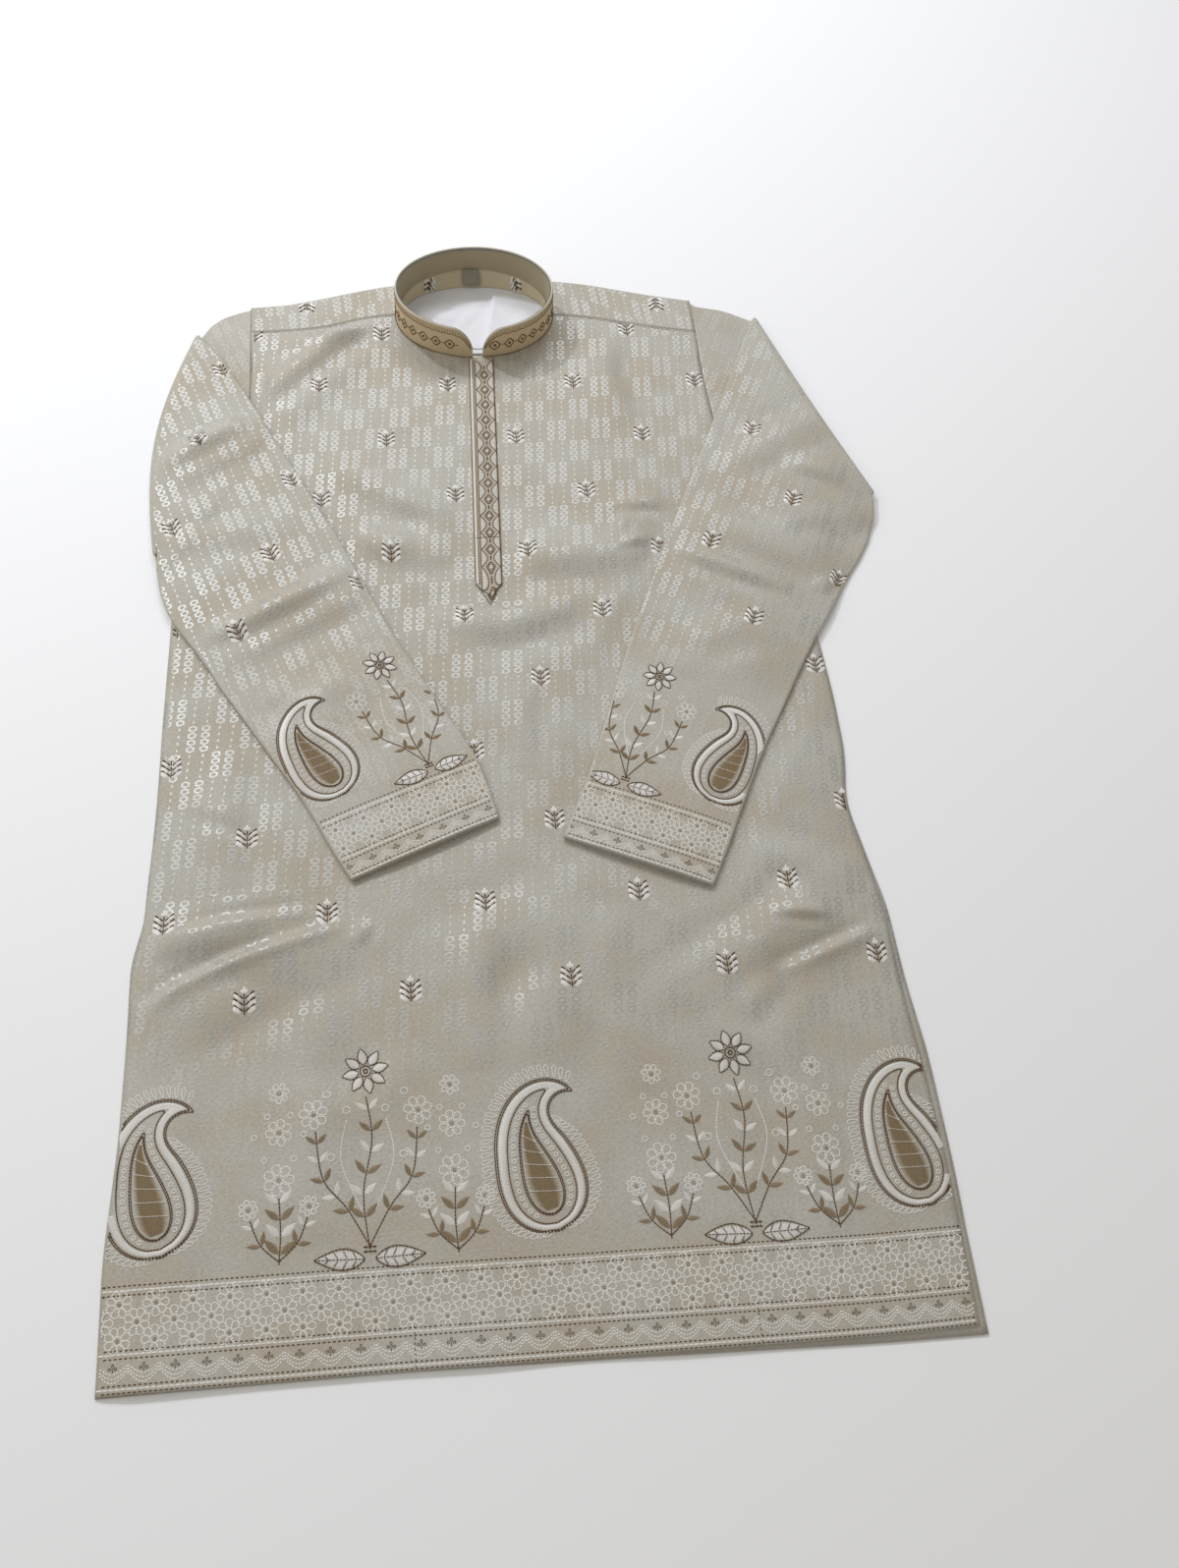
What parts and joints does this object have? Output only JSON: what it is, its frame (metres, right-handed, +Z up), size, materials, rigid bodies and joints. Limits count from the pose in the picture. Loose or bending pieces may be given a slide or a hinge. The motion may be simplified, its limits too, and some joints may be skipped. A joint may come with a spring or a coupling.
{
  "type": "kurta",
  "caption": "Long-sleeved kurta in cream satin jacquard with white and brown embroidery, laid flat with its sleeves turned over the front and its collar band standing.",
  "frame": {"origin": "middle of the underside, on the surface that the kurta lies on", "axes": "+Y from the hem to the collar, +X to the side of the wearer's left arm, +Z up"},
  "size_m": [0.6998, 1.0622, 0.0437],
  "materials": {
    "satin_jacquard": "satin jacquard, cream, with dotted lines and small hexagons",
    "collar_cloth": "tan satin with brown embroidered diamonds",
    "plain_facing": "plain tan cloth, fine vertical ribs",
    "placket_strip": "embroidered strip, white and brown thread",
    "white_lining": "plain white lining, matt",
    "grey_tab": "woven grey tape, bare"
  },
  "bodies": {
    "root": {"back": "satin_jacquard", "front": "satin_jacquard", "sleeve_right": "satin_jacquard", "sleeve_left": "satin_jacquard", "collar_band": "collar_cloth", "collar_facing": "plain_facing", "placket": "placket_strip", "neck_facing": "plain_facing", "lining": "white_lining", "size_tab": "grey_tab"}
  },
  "joints": []
}
